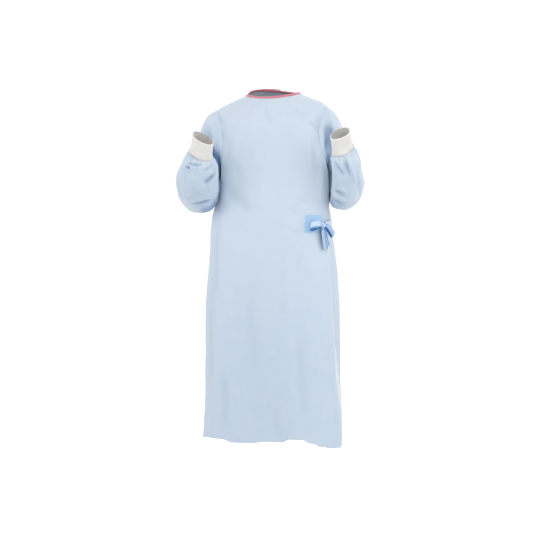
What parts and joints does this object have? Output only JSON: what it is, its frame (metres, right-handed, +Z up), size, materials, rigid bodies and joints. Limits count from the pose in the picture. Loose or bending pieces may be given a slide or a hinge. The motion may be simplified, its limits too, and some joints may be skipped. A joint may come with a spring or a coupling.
{
  "type": "surgical gown",
  "caption": "Disposable pale blue non-woven surgical gown in its worn shape, wrapped at the back, forearms folded up, with white knit cuffs, pink neck tape and a blue side bow.",
  "frame": {"origin": "between the wearer's shoulders, in the middle of the body, at the height of the side of the neck opening", "axes": "+X towards the wearer's left, +Y towards the back so that the front faces -Y, +Z up from hem to neck"},
  "size_m": [0.6667, 0.4409, 1.2905],
  "materials": {
    "nonwoven": "matte",
    "rib_knit": "matte",
    "pink_tape": "matte",
    "blue_tie": "matte",
    "hook_tape": "matte"
  },
  "bodies": {
    "root": {"front_panel_shoulder": "nonwoven", "front_panel_chest": "nonwoven", "front_panel_waist": "nonwoven", "front_panel_skirt": "nonwoven", "back_panel_left_shoulder": "nonwoven", "back_panel_left_chest": "nonwoven", "back_panel_left_waist": "nonwoven", "back_panel_left_skirt": "nonwoven", "back_panel_right_shoulder": "nonwoven", "back_panel_right_chest": "nonwoven", "back_panel_right_waist": "nonwoven", "back_panel_right_skirt": "nonwoven", "sleeve_left_upper": "nonwoven", "sleeve_left_elbow": "nonwoven", "sleeve_left_forearm": "nonwoven", "sleeve_right_upper": "nonwoven", "sleeve_right_elbow": "nonwoven", "sleeve_right_forearm": "nonwoven", "cuff_left": "rib_knit", "cuff_right": "rib_knit", "neck_binding": "pink_tape", "neck_tab": "hook_tape", "tie_patch": "blue_tie", "belt_back": "blue_tie", "belt_front": "blue_tie", "bow_knot": "blue_tie", "bow_loop_front": "blue_tie", "bow_loop_back": "blue_tie", "bow_end_front": "blue_tie", "bow_end_back": "blue_tie"}
  },
  "joints": []
}
